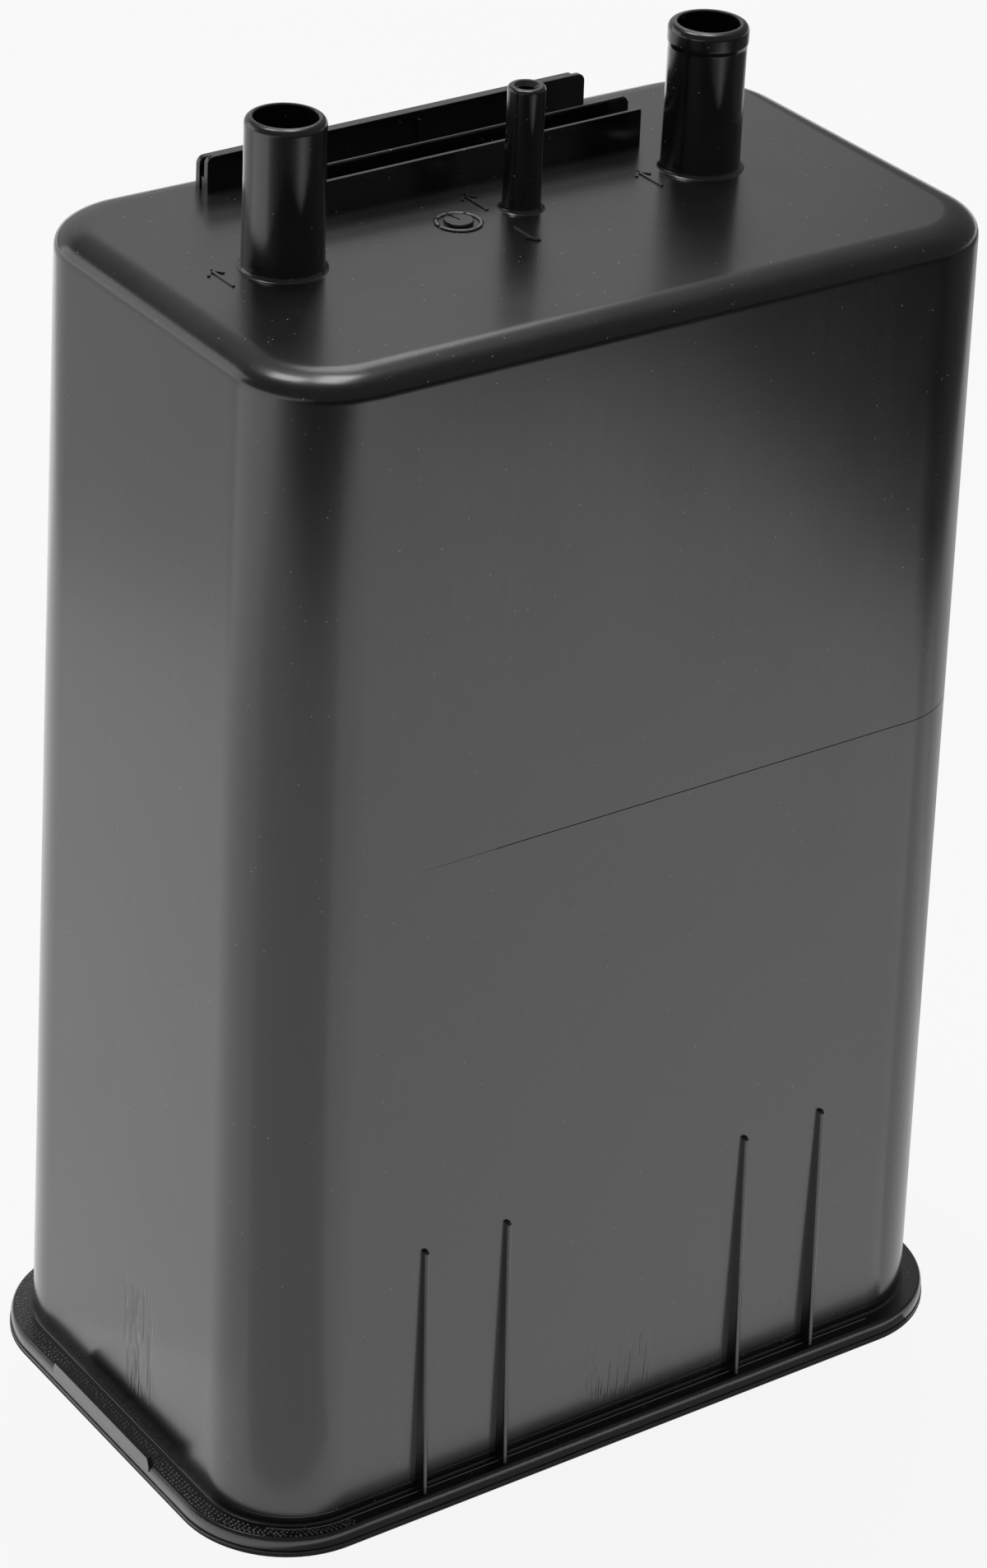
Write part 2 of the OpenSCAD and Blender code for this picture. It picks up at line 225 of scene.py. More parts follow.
def build(name, fill):
    """Object whose mesh the function fill makes, in millimetres."""
    bm = bmesh.new()
    fill(bm)
    bmesh.ops.recalc_face_normals(bm, faces=bm.faces)
    bmesh.ops.scale(bm, vec=(MM, MM, MM), verts=bm.verts)
    mesh = bpy.data.meshes.new(name)
    bm.to_mesh(mesh)
    bm.free()
    obj = bpy.data.objects.new(name, mesh)
    bpy.context.scene.collection.objects.link(obj)
    return obj


def boolean(target, operand, operation):
    """Joins the operand to the target, or cuts it out, and removes the operand."""
    mod = target.modifiers.new("boolean", "BOOLEAN")
    mod.operation = operation
    mod.solver = "MANIFOLD"
    mod.object = operand
    bpy.context.view_layer.update()
    made = target.evaluated_get(bpy.context.evaluated_depsgraph_get())
    mesh = bpy.data.meshes.new_from_object(made)
    target.modifiers.clear()
    target.data = mesh
    bpy.data.objects.remove(operand)


def smooth(obj, sharp_deg=SHARP_DEG):
    """Smooth shading with sharp edges by angle and normals weighted by area."""
    bm = bmesh.new()
    bm.from_mesh(obj.data)
    for face in bm.faces:
        face.smooth = True
    for edge in bm.edges:
        edge.smooth = edge.calc_face_angle(0) < math.radians(sharp_deg)
    bm.to_mesh(obj.data)
    bm.free()
    mod = obj.modifiers.new("normals", "WEIGHTED_NORMAL")
    mod.keep_sharp = True


def dress(obj, material, slot, *nodes):
    """Gives an object its one material, its body, and the CAD nodes that it stands for; slot is not
    used.
    """
    obj.data.materials.clear()
    obj.data.materials.append(material)
    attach(obj, "root")
    if nodes:
        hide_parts(*nodes)


# Materials

class Nodes:
    """Short way to add and link the nodes of one material."""

    def __init__(self, name):
        self.material = bpy.data.materials.new(name)
        self.material.use_nodes = True
        self.tree = self.material.node_tree
        self.shader = self.tree.nodes["Principled BSDF"]
        self.place = self.add("ShaderNodeTexCoord").outputs["Object"]

    def add(self, kind, **values):
        node = self.tree.nodes.new(kind)
        for key, value in values.items():
            setattr(node, key, value)
        return node

    def link(self, output, socket):
        self.tree.links.new(output, socket)

    def math(self, operation, a, b=None):
        """Sum, product or the like of sockets and numbers."""
        node = self.add("ShaderNodeMath", operation=operation)
        for socket, value in zip(node.inputs, (a, b)):
            if isinstance(value, (int, float)):
                socket.default_value = value
            elif value is not None:
                self.link(value, socket)
        return node.outputs[0]

    def scaled(self, sx, sy, sz):
        """Place stretched so that one unit is this many millimetres along each axis."""
        node = self.add("ShaderNodeMapping")
        node.inputs["Scale"].default_value = (1 / (sx * MM), 1 / (sy * MM), 1 / (sz * MM))
        self.link(self.place, node.inputs["Vector"])
        return node.outputs[0]

    def noise(self, vector, detail=2.0, rough=0.5):
        node = self.add("ShaderNodeTexNoise")
        node.inputs["Scale"].default_value = 1
        node.inputs["Detail"].default_value = detail
        node.inputs["Roughness"].default_value = rough
        self.link(vector, node.inputs["Vector"])
        return node.outputs["Fac"]

    def band(self, value, low, high, to_low=0.0, to_high=1.0):
        """Value between two limits, spread smoothly over another range."""
        node = self.add("ShaderNodeMapRange", interpolation_type="SMOOTHSTEP")
        limits = {"From Min": low, "From Max": high, "To Min": to_low, "To Max": to_high}
        for name, number in limits.items():
            node.inputs[name].default_value = number
        self.link(value, node.inputs["Value"])
        return node.outputs["Result"]

    def mix(self, factor, a, b):
        """Colour between two colours, each a socket or a triple."""
        node = self.add("ShaderNodeMix", data_type="RGBA")
        self.link(factor, node.inputs["Factor"])
        for name, value in (("A", a), ("B", b)):
            socket = next(s for s in node.inputs if s.name == name and s.type == "RGBA")
            if isinstance(value, tuple):
                socket.default_value = (*value, 1)
            else:
                self.link(value, socket)
        return next(s for s in node.outputs if s.type == "RGBA")

    def specks(self, size_mm, radius, share):
        """Round dots, one in each of some cells of a given size."""
        node = self.add("ShaderNodeTexVoronoi")
        node.inputs["Scale"].default_value = 1
        self.link(self.scaled(size_mm, size_mm, size_mm), node.inputs["Vector"])
        dot = self.band(node.outputs["Distance"], radius * 0.5, radius, 1, 0)
        split = self.add("ShaderNodeSeparateColor")
        self.link(node.outputs["Color"], split.inputs[0])
        return self.math("MULTIPLY", dot, self.math("GREATER_THAN", split.outputs[0], 1 - share))

    def within(self, low, high, edge):
        """One inside a box in millimetres, falling to nothing over an edge outside it."""
        split = self.add("ShaderNodeSeparateXYZ")
        self.link(self.place, split.inputs[0])
        inside = None
        for axis, start, end in zip(split.outputs, low, high):
            for limit, outer in ((start, start - edge), (end, end + edge)):
                step = self.band(axis, outer * MM, limit * MM)
                inside = step if inside is None else self.math("MULTIPLY", inside, step)
        return inside

    def bump(self, height, distance_mm, normal=None):
        """Normal bent by a height, on top of another normal where one is given."""
        node = self.add("ShaderNodeBump")
        node.inputs["Strength"].default_value = 1
        node.inputs["Distance"].default_value = distance_mm * MM
        self.link(height, node.inputs["Height"])
        if normal is not None:
            self.link(normal, node.inputs["Normal"])
        return node.outputs["Normal"]


# Moulded plastic: millimetres of each pattern along X, Y and Z, and the depth of its bump
STREAK = (1.1, 1.1, 45)
MOTTLE = (22, 22, 30)
GRAIN = (0.35, 0.35, 0.6)
DASH = (0.6, 0.6, 10)
STREAK_BUMP = 0.0005
MOTTLE_BUMP = 0.04
GRAIN_BUMP = 0.003
DASH_BUMP = -0.05
RIM_BUMP = 0.03

# Dust: millimetres of a cell and its part of the dust, and the dot in each filled cell
SPECKS = ((3, 1), (1.6, 0.6))
SPECK_R = 0.06
SPECK_COLOUR = (0.6, 0.6, 0.59)

# Ranges of the patterns that count, the streaks' part of the roughness, and what adds to it
NOISE_RANGE = (0.3, 0.7)
BLEND_RANGE = (0.35, 0.65)
DASH_RANGE = (0.5, 0.68)
UPRIGHT_RANGE = (0.5, 0.8)
STREAK_SHARE = 0.35
ROOF_FROM = 0.6
ROOF_ROUGHER = 0.14
SPECK_ROUGHER = 0.3
PLASTIC_IOR = 1.53
COAT_ROUGH = 0.19

# Boxes of the scuffs on the left and front faces, and of the rim, with their soft edges
SCUFFS = (((-95, -9, 15), (-80, -1, 38)), ((-7, -60, 12), (7, -50, 22)))
SCUFF_EDGE = 4
RIM_OVER = 2
RIM_EDGE = 0.3


def facing_up(n, normal):
    """How far a face looks up or down, from nothing to one."""
    split = n.add("ShaderNodeSeparateXYZ")
    n.link(n.add("ShaderNodeNewGeometry").outputs[normal], split.inputs[0])
    return n.math("ABSOLUTE", split.outputs[2])


def moulded_plastic(name, dark, light, rough_low, rough_high, dust):
    """Satin black plastic: streaks up the draw of the mould, mottling, scuffs and dust."""
    n = Nodes(name)
    streaks = n.noise(n.scaled(*STREAK), detail=4, rough=0.6)
    mottle = n.noise(n.scaled(*MOTTLE), detail=3)
    grain = n.noise(n.scaled(*GRAIN), detail=2)
    wide, fine = (n.specks(cell, SPECK_R, dust * share) for cell, share in SPECKS)
    specks = n.math("MAXIMUM", wide, fine)
    base = n.mix(n.band(mottle, *NOISE_RANGE), dark, light)
    n.link(n.mix(specks, base, SPECK_COLOUR), n.shader.inputs["Base Color"])
    streak_part = n.math("MULTIPLY", streaks, STREAK_SHARE)
    mottle_part = n.math("MULTIPLY", mottle, 1 - STREAK_SHARE)
    blend = n.math("ADD", streak_part, mottle_part)
    rough = n.band(blend, *BLEND_RANGE, rough_low, rough_high)
    roof = n.band(facing_up(n, "Normal"), ROOF_FROM, 1)
    for where, more in ((roof, ROOF_ROUGHER), (specks, SPECK_ROUGHER)):
        rough = n.math("ADD", rough, n.math("MULTIPLY", where, more))
    n.link(rough, n.shader.inputs["Roughness"])
    rim = n.math("MULTIPLY", grain, rim_mask(n))
    normal = n.bump(grain, GRAIN_BUMP)
    for height, depth in (
        (streaks, STREAK_BUMP), (mottle, MOTTLE_BUMP), (scuffs(n), DASH_BUMP), (rim, RIM_BUMP),
    ):
        normal = n.bump(height, depth, normal)
    n.link(normal, n.shader.inputs["Normal"])
    n.link(normal, n.shader.inputs["Coat Normal"])
    n.shader.inputs["IOR"].default_value = PLASTIC_IOR
    n.shader.inputs["Coat IOR"].default_value = PLASTIC_IOR
    n.shader.inputs["Coat Weight"].default_value = 1.0
    n.shader.inputs["Coat Roughness"].default_value = COAT_ROUGH
    return n.material


def scuffs(n):
    """Short upright dashes that the mould left low on the left face and mid front."""
    dashes = n.band(n.noise(n.scaled(*DASH), detail=0), *DASH_RANGE)
    left, front = (n.within(low, high, SCUFF_EDGE) for low, high in SCUFFS)
    return n.math("MULTIPLY", dashes, n.math("MAXIMUM", left, front))


def rim_mask(n):
    """One on the upright edge of the flange and its lip, where the plastic is rougher."""
    upright = n.band(facing_up(n, "True Normal"), *UPRIGHT_RANGE, 1, 0)
    low, high = (-FLANGE_HX, -FLANGE_HY, 0), (FLANGE_HX, FLANGE_HY, FLANGE_Z + RIM_OVER)
    return n.math("MULTIPLY", upright, n.within(low, high, RIM_EDGE))


def fleece_material():
    """Pale needled felt of fibres that cross."""
    n = Nodes("fleece")
    fibres = n.noise(n.scaled(0.25, 2.2, 0.4), detail=5, rough=0.7)
    cross = n.noise(n.scaled(2.0, 0.3, 0.4), detail=5, rough=0.7)
    felt = n.math("MAXIMUM", fibres, cross)
    base = n.mix(n.band(felt, 0.4, 0.75), (0.5, 0.48, 0.42), (0.76, 0.74, 0.69))
    n.link(base, n.shader.inputs["Base Color"])
    n.shader.inputs["Roughness"].default_value = 0.95
    n.shader.inputs["Sheen Weight"].default_value = 0.25
    n.link(n.bump(felt, 0.35), n.shader.inputs["Normal"])
    return n.material


def carbon_material():
    """Black pellets packed side by side."""
    n = Nodes("carbon")
    cells = n.add("ShaderNodeTexVoronoi")
    n.link(n.scaled(2.2, 2.2, 2.2), cells.inputs["Vector"])
    cells.inputs["Scale"].default_value = 1
    tone = n.add("ShaderNodeSeparateColor")
    n.link(cells.outputs["Color"], tone.inputs[0])
    base = n.mix(tone.outputs[0], (0.006, 0.006, 0.006), (0.026, 0.026, 0.027))
    n.link(base, n.shader.inputs["Base Color"])
    n.link(n.band(tone.outputs[1], 0, 1, 0.55, 0.85), n.shader.inputs["Roughness"])
    n.link(n.bump(cells.outputs["Distance"], -0.9), n.shader.inputs["Normal"])
    return n.material


def grid_material():
    """Plain black moulding, duller than the housing."""
    n = Nodes("grid_plastic")
    mottle = n.noise(n.scaled(6, 6, 6), detail=3)
    grain = n.noise(n.scaled(0.4, 0.4, 0.4))
    base = n.mix(mottle, (0.035, 0.035, 0.038), (0.055, 0.055, 0.058))
    n.link(base, n.shader.inputs["Base Color"])
    n.link(n.band(mottle, *NOISE_RANGE, 0.42, 0.58), n.shader.inputs["Roughness"])
    n.link(n.bump(grain, 0.02), n.shader.inputs["Normal"])
    return n.material


def spring_material():
    """Drawn and plated wire."""
    n = Nodes("spring_steel")
    drawn = n.noise(n.scaled(1.5, 1.5, 0.12), detail=3)
    n.link(n.mix(drawn, (0.5, 0.5, 0.51), (0.68, 0.69, 0.7)), n.shader.inputs["Base Color"])
    n.link(n.band(drawn, *NOISE_RANGE, 0.22, 0.4), n.shader.inputs["Roughness"])
    n.link(n.bump(drawn, 0.01), n.shader.inputs["Normal"])
    n.shader.inputs["Metallic"].default_value = 1
    return n.material


# Housing

# Hairline round the body, and where along X it fades in
WITNESS_Z = 155.35
WITNESS_HALF = 0.11
WITNESS_DEPTH = 0.08
WITNESS_FADE = (-75, -25)

# Weld between the flange and the cover: its gap, how far its face lies in, and its waves
SEAM_LIFT = 0.2
WELD_IN = 0.3
WAVE_SLOW = 14
WAVE_FINE = 2.5
FINE_SEED = 9
FLANGE_WAVE = 0.06
FLANGE_SEED = 3.0

# Points of the shell's mouth closer than this are one
MERGE_DIST = 1e-4


def ease(value, low, high):
    """Smooth step from nothing to one between two limits."""
    t = min(1, max(0, (value - low) / (high - low)))
    return t * t * (3 - 2 * t)


def witness_ring():
    """Floor of the hairline round the body, which fades out towards the left."""
    ring = []
    for (x, y, z), (ix, iy, _) in zip(body_ring(WITNESS_Z), body_ring(WITNESS_Z, -WITNESS_DEPTH)):
        depth = ease(x, *WITNESS_FADE)
        ring.append((x + (ix - x) * depth, y + (iy - y) * depth, z))
    return ring


def wavy(ring, reach, seed):
    """Ring with its height shaken by a slow and a finer noise."""
    made = []
    for x, y, z in ring:
        slow = noise.noise(Vector((x / WAVE_SLOW, y / WAVE_SLOW, seed)))
        fine = noise.noise(Vector((x / WAVE_FINE, y / WAVE_FINE, seed + FINE_SEED)))
        made.append((x, y, z + reach * (slow + 0.5 * fine)))
    return made


def roof_edge():
    """Inset and height along the roof's edge: an oval that leaves the wall softly."""
    points = [(0, 0)]
    inset = height = 0
    count = ROUND_STEPS * EDGE_FINE
    step = math.radians(90) / count
    for i in range(count):
        tilt = (i + 0.5) * step
        c, s = math.cos(tilt), math.sin(tilt)
        bend = (EDGE_IN * EDGE_R) ** 2 / ((EDGE_IN * c) ** 2 + (EDGE_R * s) ** 2) ** 1.5
        bend += EDGE_SOFT * max(0, 1 - tilt / math.radians(EDGE_SOFT_DEG))
        inset += bend * s * step
        height += bend * c * step
        if (i + 1) % EDGE_FINE == 0:
            points.append((inset, height))
    return points


def shell(bm):
    """Drafted box with its flange, open below."""
    rings = [body_ring(COVER_T, -WALL), flange_ring(COVER_T, LEDGE + FLANGE_EDGE + WELD_IN)]
    for c, s in arc(3, -90, 0):
        inset = LEDGE + FLANGE_EDGE * (1 - c)
        low = flange_ring(COVER_T + SEAM_LIFT + FLANGE_EDGE * s, inset)
        rings.append(wavy(low, FLANGE_WAVE, FLANGE_SEED))
    for c, s in arc(9):
        inset = LEDGE + FLANGE_SLOPE * (1 - c)
        rings.append(flange_ring(FLANGE_Z - FLANGE_ROUND * (1 - s), inset))
    for c, s in arc(5, 90, 0):
        rings.append(body_ring(FLANGE_Z + FOOT_FILLET * (1 - s), FOOT_FILLET * (1 - c)))
    rings.append(body_ring(WITNESS_Z - WITNESS_HALF))
    rings.append(witness_ring())
    rings.append(body_ring(WITNESS_Z + WITNESS_HALF))
    edge = roof_edge()
    top = ROOF_Z - edge[-1][1]
    hx, hy = half_w(top), half_d(top)
    for inset, height in edge:
        flat = outline(hx - inset, hy - inset, CORNER_R - inset)
        rings.append([(x, y, top + height) for x, y in flat])
    rows = skin(bm, rings)
    bm.faces.new(rows[-1])
    inner = skin(bm, [body_ring(COVER_T, -WALL), body_ring(ROOF_Z - ROOF_T, -WALL)])
    bm.faces.new(inner[-1])
    bmesh.ops.remove_doubles(bm, verts=rows[0] + inner[0], dist=MERGE_DIST)


PORT_R = MOUNTS["air_port"]["dims"]["r_mm"]
PURGE_R = MOUNTS["purge_port"]["dims"]["r_mm"]
BEAD_R = MOUNTS["tank_port"]["dims"]["r_mm"]
BORE_R = 6.3
BORE_BELOW = 7
PURGE_BORE_R = 1.7
PURGE_H = 25.8
SEAT_L = 12
BEAD_H = 4.6
BEAD_RISE = 1.3
BEAD_STEPS = 8
PORT_LIP = 1.4
PURGE_LIP = 0.7
MOUTH_EDGE = 0.2
PURGE_MOUTH = 0.9
PORT_FILLET = 1
PORT_DRAFT = math.tan(math.radians(0.6))


def port_place(name):
    """Foot of a port on the roof."""
    x, y, _ = in_mm(MOUNTS[name]["pos_m"])
    return x, y, ROOF_Z


def port(bm, name, r, h, bead, lip):
    """Hose port: a fillet, a drafted stem, a straight end, maybe a bead, and a round lip."""
    foot = r + PORT_DRAFT * (h - SEAT_L)
    profile = [(AXIS_R, -ROOF_T / 2), (foot + PORT_FILLET, -ROOF_T / 2)]
    profile += [(foot + PORT_FILLET * (1 - c), PORT_FILLET * (1 - s)) for c, s in arc(8, 90, 0)]
    profile.append((r, h - SEAT_L))
    if bead:
        for i in range(BEAD_STEPS + 1):
            height = h - BEAD_H - bead + BEAD_RISE * i / BEAD_STEPS
            profile.append((r + bead * ease(i, 0, BEAD_STEPS), height))
    profile += [(r + bead - lip * (1 - c), h - lip * (1 - s)) for c, s in arc(8)]
    profile.append((AXIS_R, h))
    lathe(bm, profile, port_place(name))


def bore(bm, name, r, h, flare):
    """Bore with a chamfer at the mouth, out through the top of a port."""
    low, high = -ROOF_T - BORE_BELOW, h + flare
    profile = [(AXIS_R, low), (r, low), (r, h - flare), (r + 2 * flare, high), (AXIS_R, high)]
    lathe(bm, profile, port_place(name))


# Name, radius, height, bead, lip, bore and chamfer of each port
PORTS = (
    ("air_port", PORT_R, PORT_TOP - ROOF_Z, 0.0, PORT_LIP, BORE_R, MOUTH_EDGE),
    ("tank_port", PORT_R, PORT_TOP - ROOF_Z, BEAD_R - PORT_R, PORT_LIP, BORE_R, MOUTH_EDGE),
    ("purge_port", PURGE_R, PURGE_H, 0.0, PURGE_LIP, PURGE_BORE_R, PURGE_MOUTH),
)

# Slide mount: two rails of two walls each
RAIL_L = MOUNTS["bracket_slot"]["dims"]["length_mm"]
RAIL_MID = in_mm(MOUNTS["bracket_slot"]["pos_m"]).x
RAIL_INSET = 6.9
SLOT_W = 14.5
REAR_FRONT_H = 8.1
REAR_BACK_H = 7.1
INNER_WALL_H = 8.6
OUTER_WALL_H = 7.2
RAIL_RISE = 1.2
RAIL_T = 1.2
REAR_WALL_T = 1.7
REAR_RAIL_D = 4.8
FRONT_RAIL_D = 5.6
RAIL_TAPER = 0.25
WEB_H = 2.6
WEB_SHORT = 0.3
RAIL_ROUND = 1.6
OUTER_ROUND = 0.3
OUTER_BEVEL = 0.1
INNER_BEVEL = 0.4
REAR_BEVEL = 0.15
STOP_X = 0.7
STOP_W = 0.8
STOP_Z = 2.2
STOP_H = 4.3
STOP_OUT = 0.5
STOP_BEVEL = 0.18
REAR_BACK_Y = half_d(ROOF_Z) - RAIL_INSET
REAR_FRONT_Y = REAR_BACK_Y - REAR_RAIL_D
INNER_BACK_Y = REAR_FRONT_Y - SLOT_W
OUTER_FRONT_Y = INNER_BACK_Y - FRONT_RAIL_D


def rail_wall(bm, y, thick, h, r, bevel):
    """Wall along X with round upper corners, thinner at its top, which rises to the right."""
    low = -ROOF_T / 2
    half = RAIL_L / 2
    left, right = h - RAIL_RISE / 2 - r, h + RAIL_RISE / 2 - r
    points = [(-half, low), (half, low)]
    points += [(half - r + r * c, right + r * s) for c, s in arc(6)]
    points += [(-half + r + r * c, left + r * s) for c, s in arc(6, 90, 180)]

    def place(a, b, d):
        depth = (d - thick / 2) * (1 - RAIL_TAPER * max(0, b) / h)
        return RAIL_MID + a, y + thick / 2 + depth, ROOF_Z + b

    slab(bm, points, thick, place, bevel)


def slide_mount(bm):
    """The four walls of the rails, from the front to the back."""
    rail_wall(bm, OUTER_FRONT_Y, RAIL_T, OUTER_WALL_H, OUTER_ROUND, OUTER_BEVEL)
    rail_wall(bm, INNER_BACK_Y - RAIL_T, RAIL_T, INNER_WALL_H, RAIL_ROUND, INNER_BEVEL)
    rail_wall(bm, REAR_FRONT_Y, REAR_WALL_T, REAR_FRONT_H, RAIL_ROUND, REAR_BEVEL)
    rear_y = REAR_BACK_Y - REAR_WALL_T
    rail_wall(bm, rear_y, REAR_WALL_T, REAR_BACK_H, RAIL_ROUND, REAR_BEVEL)


def web_and_stop(bm):
    """Floor between the walls of the rear rail, and the small stop on its face."""
    half = RAIL_L / 2 - WEB_SHORT
    web = [(-half, -ROOF_T / 2), (half, -ROOF_T / 2), (half, WEB_H), (-half, WEB_H)]
    web_y = REAR_FRONT_Y + REAR_WALL_T / 2
    depth = REAR_RAIL_D - REAR_WALL_T
    slab(bm, web, depth, lambda a, b, d: (RAIL_MID + a, web_y + d, ROOF_Z + b), 0)
    left, right, top = STOP_X - STOP_W / 2, STOP_X + STOP_W / 2, STOP_Z + STOP_H
    stop = [(left, STOP_Z), (right, STOP_Z), (right, top), (left, top)]
    stop_y = REAR_FRONT_Y - STOP_OUT
    slab(bm, stop, STOP_OUT + OVERLAP, lambda a, b, d: (a, stop_y + d, ROOF_Z + b), STOP_BEVEL)


# Ribs on the front face and the lip on the left edge of the flange
RIB_MID = 0.7
PAIR_GAP = 81.9
RIB_GAP = 20.4
RIB_T = 1.6
RIB_H = 60.5
RIB_OUT = 3.1
RIB_TIP = 1.2
RIB_NOSE = 0.75
LIP_Y = 1
LIP_L = 40.5
LIP_H = 1.8
LIP_T = 1.2
LIP_SLANT = 0.6
LIP_BEVEL = 0.12


def rib_ring(x, z, reach, half):
    """Section of a rib at a height: flanks that close in from the wall to a narrow round nose."""
    face = -half_d(z)
    nose = min(half * RIB_NOSE, reach)
    points = [(x + half, face + WALL / 2, z), (x + half, face, z)]
    for c, s in arc(10, 0, 180):
        points.append((x + half * RIB_NOSE * c, face - reach + nose - nose * s, z))
    return points + [(x - half, face, z), (x - half, face + WALL / 2, z)]


def ribs(bm):
    """Four stiffening ribs at the foot of the front face, which run out in a round tip."""
    cap = RIB_T / 2
    levels = [(FLANGE_Z - FLANGE_T / 2, RIB_OUT, RIB_T / 2)]
    for t in (0, 0.5, 1):
        reach = RIB_OUT + (RIB_TIP - RIB_OUT) * t
        levels.append((FLANGE_Z + (RIB_H - cap) * t, reach, RIB_T / 2))
    for c, s in arc(5, 15, 85):
        levels.append((FLANGE_Z + RIB_H - cap + cap * s, RIB_TIP * c, RIB_T / 2 * c))
    for pair in (-1, 1):
        for side in (-1, 1):
            x = RIB_MID + pair * PAIR_GAP / 2 + side * RIB_GAP / 2
            solid(bm, [rib_ring(x, *level) for level in levels])


def flange_lip(bm):
    """Low wall on the left edge of the flange, with slanting ends."""
    half = LIP_L / 2
    low = FLANGE_Z - FLANGE_T / 2
    profile = [
        (-half, low), (half, low), (half, FLANGE_Z), (half - LIP_SLANT, FLANGE_Z + LIP_H),
        (-half + LIP_SLANT, FLANGE_Z + LIP_H), (-half, FLANGE_Z),
    ]
    slab(bm, profile, LIP_T, lambda a, b, d: (-FLANGE_HX + d, LIP_Y + a, b), LIP_BEVEL)


# Partitions and fins inside
PART_T = 2
PART_GAP = 10.5
PLENUM_H = 6
FILTER_T = 5
DIVIDER_IN = 25
FIN_T = 1.6
FIN_PITCH = 14
SPAN_Z = 20


def block(bm, low, high):
    """Plain box between two corners."""
    low, high = Vector(low), Vector(high)
    size = Matrix.Diagonal((*(high - low), 1))
    bmesh.ops.create_cube(bm, matrix=Matrix.Translation((low + high) / 2) @ size)


def partitions(bm):
    """Walls and fins inside, which part the chambers and hold the filters down."""
    names = ("air_port", "purge_port", "tank_port")
    air_x, purge_x, tank_x = (port_place(name)[0] for name in names)
    roof = ROOF_Z - ROOF_T
    filter_z = roof - PLENUM_H - FILTER_T
    part_x = (air_x + purge_x) / 2
    divider_x = (purge_x + tank_x) / 2
    for x, z in ((part_x, COVER_T + PART_GAP), (divider_x, filter_z - DIVIDER_IN)):
        reach = half_d(ROOF_Z) - WALL / 2
        points = [(-reach - DRAFT * (ROOF_Z - z), z), (reach + DRAFT * (ROOF_Z - z), z)]
        points += [(reach, roof + OVERLAP), (-reach, roof + OVERLAP)]
        slab(bm, points, PART_T, lambda a, b, d, x=x: (x - PART_T / 2 + d, a, b), 0)
    side = half_w(COVER_T + SPAN_Z) - WALL
    spans = (
        (-side, part_x - PART_T / 2), (part_x + PART_T / 2, divider_x - PART_T / 2),
        (divider_x + PART_T / 2, side),
    )
    for x0, x1 in spans:
        count = int((x1 - x0) // FIN_PITCH) - 1
        first = (x0 + x1) / 2 - (count - 1) * FIN_PITCH / 2
        reach = BODY_HY - CORNER_R
        low, high = roof - PLENUM_H, roof + OVERLAP
        for i in range(count):
            x = first + i * FIN_PITCH
            block(bm, (x - FIN_T / 2, -reach, low), (x + FIN_T / 2, reach, high))


# Date insert: dial, slot and groove, and the broken raised ring round it
INSERT_X = -13.6
INSERT_Y = 2.6
INSERT_R = 5.1
INSERT_STEPS = 72
DIAL_R = 3
DIAL_H = 0.8
DIAL_EDGE = 0.15
DIAL_STEPS = 48
DIAL_SLOT = 0.4
SLOT_BACK = 0.4
SLOT_FLOOR = 0.3
DIAL_TURN = math.radians(13)
RING_W = 0.3
RING_DEPTH = 0.3
RING_BEAD_R = 0.3
RING_BEAD_LIFT = 0.6
RING_BEAD_STEP = 6
RING_BEAD_ARCS = ((-172, -78), (-74, 36), (44, 84), (90, 128), (140, 176))

# Arrows: sizes, then the middle of each and whether it points to the back or the front
ARROW_L = 8.5
ARROW_W = 0.6
ARROW_H = 0.3
BARB = 2.2
BARB_SPREAD = 0.8
ARROWS = ((-68.7, 1.4, 1), (-5.1, 9.3, 1), (-4.8, -8.4, -1), (33.0, 2.8, 1))


def insert_dial(bm):
    """Raised middle of the date insert."""
    edge = [(DIAL_R - DIAL_EDGE * (1 - c), DIAL_H - DIAL_EDGE * (1 - s)) for c, s in arc(3)]
    profile = [(AXIS_R, -OVERLAP), (DIAL_R, -OVERLAP)] + edge + [(AXIS_R, DIAL_H)]
    lathe(bm, profile, (INSERT_X, INSERT_Y, ROOF_Z), DIAL_STEPS)


def insert_cuts(bm):
    """Ring groove round the date insert and the slot across its middle."""
    inner, outer = INSERT_R - RING_W, INSERT_R
    section = ((inner, -RING_DEPTH), (outer, -RING_DEPTH), (outer, OVERLAP), (inner, OVERLAP))
    rings = [circle(INSERT_X, INSERT_Y, r, ROOF_Z + z, INSERT_STEPS) for r, z in section]
    skin(bm, rings, closed=True)
    along = Vector((-math.sin(DIAL_TURN), math.cos(DIAL_TURN)))
    centre = Vector((INSERT_X, INSERT_Y))
    start, end = centre - along * SLOT_BACK, centre + along * (DIAL_R + OVERLAP)
    stroke(bm, start, end, DIAL_SLOT, SLOT_FLOOR, DIAL_H + OVERLAP)


def stroke(bm, start, end, width, low, high):
    """Straight bar on the roof between two points, from one height above it to another."""
    start, end = Vector(start), Vector(end)
    side = (end - start).normalized().orthogonal() * width / 2
    flat = [start - side, end - side, end + side, start + side]
    points = [tuple(p) for p in flat]
    slab(bm, points, high - low, lambda a, b, d: (a, b, ROOF_Z + low + d), 0)


def insert_bead(bm):
    """Thin raised line round the date insert, broken in a few places."""
    for start, end in RING_BEAD_ARCS:
        steps = max(4, int((end - start) / RING_BEAD_STEP))
        rings = []
        for along_x, along_y in arc(steps, start, end):
            ring = []
            for c, s in arc(6, 0, 300):
                r = INSERT_R - RING_W - RING_BEAD_R + RING_BEAD_R * c
                height = ROOF_Z + RING_BEAD_R * (RING_BEAD_LIFT + s)
                ring.append((INSERT_X + r * along_x, INSERT_Y + r * along_y, height))
            rings.append(ring)
        solid(bm, rings)


